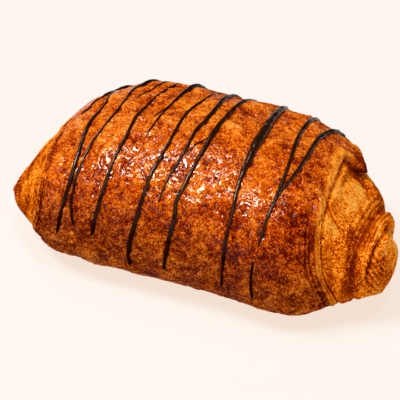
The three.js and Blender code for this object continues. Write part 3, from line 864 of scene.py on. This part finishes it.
def wrap_look(place, degree, outer, facts):
    """The wrap's tone, its share of glaze, where it is dull low down, and where the dough is bare."""
    flap, dull = facts["flap"], ramp(np.abs(degree), *DULL_ROUND)
    edge = facts["edge"] + BARE_WAVER * noise_at(outer, 3, 2, 6)
    starts, ends = (at + wider * opening_at(degree) for at, wider in zip(BARE_ALONG, BARE_WIDENED))
    bare = BARE * (1 - ramp(edge, starts, ends)) * (1 - flap)
    spots = 0
    for (x, angle), reach, strength in DARK_SPOTS:
        centre = wrap_skin(np.array([float(x)]), np.array([float(angle)]))[0][0]
        spots += strength * mound(np.linalg.norm(outer - centre, axis=-1), reach)
    # Painted light on the top and the front, painted shade on the brow, low down and on the back of the left
    # half, and painted shade in the relief's creases and hollows with painted light on its rises.
    tone = weighed(WRAP_TONE, {
        "patches": noise_at(outer, 11, 3, 5), "mottle": noise_at(outer, 4.5, 2, 4),
        "cloud": facts["cloud"], "wrinkle": facts["wrinkle"], "lines": facts["lines"], "flap": flap,
        "top": swell(degree, -14, 36), "brow": swell(degree, 48, 22), "low": dull, "spots": spots,
        "back_left": ramp(-place, 5, 25) * ramp(-degree, 0, 35), "bare": bare,
        "front": ramp(degree, 20, 60)})
    wet = ramp(noise_at(outer, WASH_PATCH_SIZE, 3, 3), *WASH_PATCHES)
    gloss = (LEAST_WASH + (1 - LEAST_WASH) * wet) * (1 - bare) * ramp(degree, -48, -8)
    lost = {"low": ramp(degree, 44, 84), "right_corner": ramp(place, 28, 38) * ramp(degree, 25, 50),
            "flap": flap, "left_corner": ramp(-place, 39, 46)}
    for name, part in lost.items():
        gloss *= 1 - WASH_LOSSES[name] * part
    return {"tone": tone, "gloss": gloss, "dull": dull, "bare": bare}


def make_wrap(material):
    """The egg-washed wrap: its outer skin, the cut edges of both rims and the sides turned in under it."""
    share = np.linspace(0, 1, WRAP_ROWS)
    places = RIM_LEFT + (RIM_RIGHT - RIM_LEFT) * (share - ROWS_CROWDED * np.sin(2 * math.pi * share))
    place, degree = np.meshgrid(places, GIRTH_DEGREES, indexing="ij")
    outer, facts = wrap_skin(place, degree)
    around = degree[:1]
    at_right, at_left = np.full_like(around, RIM_RIGHT), np.full_like(around, RIM_LEFT)
    sheet = SHEET + (SHEET_OPEN - SHEET) * opening_at(around) - FLAP_THINNED * flap_share(around)
    right = [wrap_skin(at_right, around, sheet * sunk)[0] + [out, 0, 0] for out, sunk in TURNED_EDGE]
    left = [wrap_skin(at_left, around, SHEET * sunk)[0] - [out, 0, 0] for out, sunk in TURNED_EDGE]
    rings = np.concatenate([*left[::-1], outer, *right])
    wrap = closed_skin("pastry-wrap", rings, WRAP_INSIDE, material)

    # The turned-in edges look like the rims that they belong to.
    edge_rows = ((len(TURNED_EDGE), len(TURNED_EDGE)), (0, 0))
    look = wrap_look(place, degree, outer, facts)
    write_attributes(wrap.data, {name: np.pad(grid, edge_rows, "edge") for name, grid in look.items()})
    write_uv(wrap.data, rings)
    return wrap


def roll_look(place, degree, rings, facts):
    """The roll's tone: golden shoulders, painted shade in the valleys, folds, creases, hollows and the gaps
    by the rims, layer edges darkened by browning and by painted shade in their steps, painted light where
    the shoulders face the lamps, painted shade over the left end, and a dark left tip.
    """
    past, turn_share = facts["past"], share_of_step(facts["turns"])
    turned = np.radians(degree)
    girth = np.stack([place, STREAK_GIRTH * np.sin(turned), STREAK_GIRTH * np.cos(turned)], -1)
    tongue = bump(past, *TONGUE_ALONG) * between(degree, *TONGUE_SPAN)
    plain = 1 - TONGUE_HIDES_GRAIN * tongue
    # valley, folds, layer and hollow paint shade into the valleys, folds, creases, steps and hollows; lit
    # paints light where the shoulder faces the lamps.
    valley = bump(past, 0.2, 2.2, 1.6) + bump(facts["past_left"], 0, 2, 3) + facts["second"]
    layer = facts["core"] * (bump(turn_share, 0.9, 0.32, 0.14) - 0.3 * bump(turn_share, 0.45, 0.3, 0.3))
    folds = weighed(FOLD_TONE, {
        "valley": valley, "band": bump(past, -1.8, 2.6, 2.4) * ramp(degree, -70, -30),
        "creased": facts["creased"] * (1 - TONGUE_HIDES_FOLDS * tongue)})
    return {"tone": weighed(ROLL_TONE, {
        "shoulder": swell(degree, -8, 40), "front": ramp(degree, 15, 80),
        "under": ramp(np.abs(degree), 90, 150), "patches": noise_at(rings, 7, 3, 5),
        "streaks": noise_at(girth, STREAK_SIZE, 3, 12) * plain, "valley": valley * plain,
        "cloud": facts["cloud"], "lit": bump(past, -6, 4, 2.5) * swell(degree, 36, 24),
        "inner_valley": bump(past, 1, 3, 2) * swell(degree, -10, 18),
        "folds": np.clip(folds, 0, FOLD_DARKEST), "layer": layer + bump(facts["outer"], 0.2, 0.6, 1.1),
        "hollow": facts["hollow"], "core": facts["core"], "tongue": tongue, "nib": ramp(-place, 58, 60.5),
        "left": place < 0})}


def make_roll(material):
    """The inner roll: hidden under the wrap, with its turned and coiled ends outside."""
    places = []
    for tip, rim, rows in (
            (SECTIONS[0][0], RIM_LEFT + ROLL_TUCKED_IN, ROLL_ROWS_LEFT),
            (SECTIONS[-1][0], RIM_RIGHT - ROLL_TUCKED_IN, ROLL_ROWS_RIGHT)):
        places.append(tip + (rim - tip) * (1 - np.cos(np.linspace(0, math.pi / 2, rows + 1)[1:])))
    place, degree = np.meshgrid(np.concatenate([places[0], places[1][::-1]]), GIRTH_DEGREES, indexing="ij")
    rings, facts = roll_skin(place, degree)
    tips = loaf_point(np.array([0.0, 1.0]), np.array([0.0, 0.0]))
    roll = closed_skin("pastry-roll", rings, tips, material)
    write_attributes(roll.data, roll_look(place, degree, rings, facts))
    return roll


def drizzle_tree():
    """Geometry nodes that lay a bead along each curve, pressed onto the skin under it."""
    tree = bpy.data.node_groups.new("bead_on_skin", "GeometryNodeTree")
    for name, kind in (
            ("Geometry", "Geometry"), ("Skin", "Object"), ("Step", "Float"), ("Flatness", "Float"),
            ("Lumps", "Float"), ("Seed", "Int"), ("Chocolate", "Material")):
        tree.interface.new_socket(name, in_out="INPUT", socket_type="NodeSocket" + kind)
    tree.interface.new_socket("Geometry", in_out="OUTPUT", socket_type="NodeSocketGeometry")
    given = add(tree, "NodeGroupInput").outputs
    fine = add(tree, "GeometryNodeResampleCurve", [
        ("Curve", given["Geometry"]), ("Length", given["Step"])], mode="LENGTH").outputs[0]
    spot = add(tree, "GeometryNodeInputPosition").outputs[0]

    # The bead's flat side follows the skin that lies nearest to each point of the route.
    body = add(tree, "GeometryNodeObjectInfo", [("Object", given["Skin"])]).outputs["Geometry"]
    normal = add(tree, "GeometryNodeInputNormal").outputs[0]
    near = add(tree, "GeometryNodeSampleNearestSurface", [
        ("Mesh", body), ("Value", normal), ("Sample Position", spot)], data_type="FLOAT_VECTOR").outputs[0]
    route = add(tree, "GeometryNodeSetCurveNormal", [
        ("Curve", fine), ("Normal", near)], mode="FREE").outputs[0]

    # Lumps make it wider and narrower along its way.
    in_mm = add(tree, "ShaderNodeVectorMath", [(0, spot), (1, TO_MM)], operation="MULTIPLY").outputs[0]
    lumps = add(tree, "ShaderNodeTexNoise", [
        ("Vector", in_mm), ("W", given["Seed"]), ("Scale", 1 / LUMP_LENGTH), ("Detail", 2)],
        noise_dimensions="4D").outputs[0]
    share = varied(tree, 1.0, lumps, 0.5, given["Lumps"])
    radius = add(tree, "GeometryNodeInputRadius").outputs[0]
    wide = add(tree, "ShaderNodeMath", [(0, radius), (1, share)], operation="MULTIPLY").outputs[0]

    ring = add(tree, "GeometryNodeCurvePrimitiveCircle", [
        ("Resolution", BEAD_SIDES), ("Radius", 1.0)], mode="RADIUS").outputs["Curve"]
    squash = add(tree, "ShaderNodeCombineXYZ", [("X", 1.0), ("Y", given["Flatness"]), ("Z", 1.0)]).outputs[0]
    flat = add(tree, "GeometryNodeTransform", [("Geometry", ring), ("Scale", squash)]).outputs[0]
    made = add(tree, "GeometryNodeCurveToMesh", [
        ("Curve", route), ("Profile Curve", flat), ("Scale", wide), ("Fill Caps", True)]).outputs[0]
    for kind in ("GeometryNodeSetShadeSmooth", "GeometryNodeRealizeInstances"):
        made = add(tree, kind, [("Geometry", made)]).outputs[0]
    made = add(tree, "GeometryNodeSetMaterial", [("Geometry", made), ("Material", given["Chocolate"])])
    add(tree, "NodeGroupOutput", [("Geometry", made.outputs[0])])
    return tree


def make_drizzle(wrap, material):
    """All strands of chocolate: curves over the skin, turned into beads."""
    curves = bpy.data.curves.new("strand_routes", "CURVE")
    curves.dimensions = "3D"
    for stops in STRANDS:
        route = smooth(stops, np.linspace(0, 1, STRAND_POINTS))
        line = wrap_skin(route[:, 0], route[:, 1])[0]
        for _ in range(SAG_PASSES):
            line[1:-1] = (line[:-2] + 2 * line[1:-1] + line[2:]) / 4
        line = settled(line)
        gone = np.concatenate([[0], np.linalg.norm(np.diff(line, axis=0), axis=1).cumsum()]) / MM
        taper = np.sqrt(np.clip(np.minimum(gone, gone[-1] - gone) / TAPER + TAPER_BLUNT, 0, 1))
        spline = curves.splines.new("POLY")
        spline.points.add(len(line) - 1)
        for point, spot, width, thin in zip(spline.points, line, route[:, 2], taper):
            point.co = (*spot, 1)
            point.radius = width / 2 * thin * MM
    guide = link("strand-guide", curves)
    modifier = guide.modifiers.new("beads", "NODES")
    modifier.node_group = drizzle_tree()
    values = {**BEAD, "Skin": wrap, "Chocolate": material}
    for socket in modifier.node_group.interface.items_tree:
        if socket.name in values and socket.in_out == "INPUT":
            modifier[socket.identifier] = values[socket.name]
    guide.update_tag()
    ready = guide.evaluated_get(bpy.context.evaluated_depsgraph_get())
    mesh = bpy.data.meshes.new_from_object(ready)
    bpy.data.objects.remove(guide)
    mesh.name = "drizzle"
    return link("chocolate-drizzle", mesh)


def make_table():
    """A flat tabletop, wide enough to fill the view."""
    mesh = bpy.data.meshes.new("tabletop")
    corners = [(x * TABLE_REACH, y * TABLE_REACH, 0) for x, y in ((-1, -1), (1, -1), (1, 1), (-1, 1))]
    mesh.from_pydata(corners, [], [(0, 1, 2, 3)])
    mesh.materials.append(table_material())
    link("tabletop", mesh)


def aim(obj, place, target):
    """Puts a light or camera at a place, looking at a target, level."""
    obj.location = place
    obj.rotation_euler = (Vector(target) - Vector(place)).to_track_quat("-Z", "Y").to_euler()


def make_camera():
    """A long lens at the photograph's angle."""
    data = bpy.data.cameras.new("camera")
    data.lens = CAMERA_LENS
    data.sensor_width = CAMERA_SENSOR
    camera = link("camera", data)
    azimuth, elevation = math.radians(CAMERA_AZIMUTH), math.radians(CAMERA_ELEVATION)
    level = math.cos(elevation)
    back = Vector((math.sin(azimuth) * level, -math.cos(azimuth) * level, math.sin(elevation)))
    target = Vector((np.array(CAMERA_AIM) - MIDDLE) * MM)
    aim(camera, target + back * CAMERA_DISTANCE, target)
    bpy.context.scene.camera = camera


def make_lights():
    """A bright box high on the front left, small ones overhead and behind, two warm ones low at the front
    corners, and a dim warm room."""
    for name, place, size, watts, colour in LIGHTS:
        data = bpy.data.lights.new(name, "AREA")
        data.shape = "RECTANGLE"
        data.size, data.size_y = size
        data.energy = watts
        data.color = srgb(colour)[:3]
        aim(link(name, data), place, LIGHT_AIM)
    world = bpy.data.worlds.new("pale_room")
    bpy.context.scene.world = world
    world.use_nodes = True
    background = world.node_tree.nodes["Background"].inputs
    background["Color"].default_value = srgb(ROOM_COLOUR)
    background["Strength"].default_value = ROOM_STRENGTH


wrap = make_wrap(crust_material())
roll = make_roll(dough_material())
drizzle = make_drizzle(wrap, chocolate_material())
for piece, slot in ((wrap, "crust"), (roll, "crust"), (drizzle, "chocolate")):
    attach(piece, "root")
    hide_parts("pastry")
make_table()
make_lights()
make_camera()
bpy.context.scene.view_settings.view_transform = "Standard"
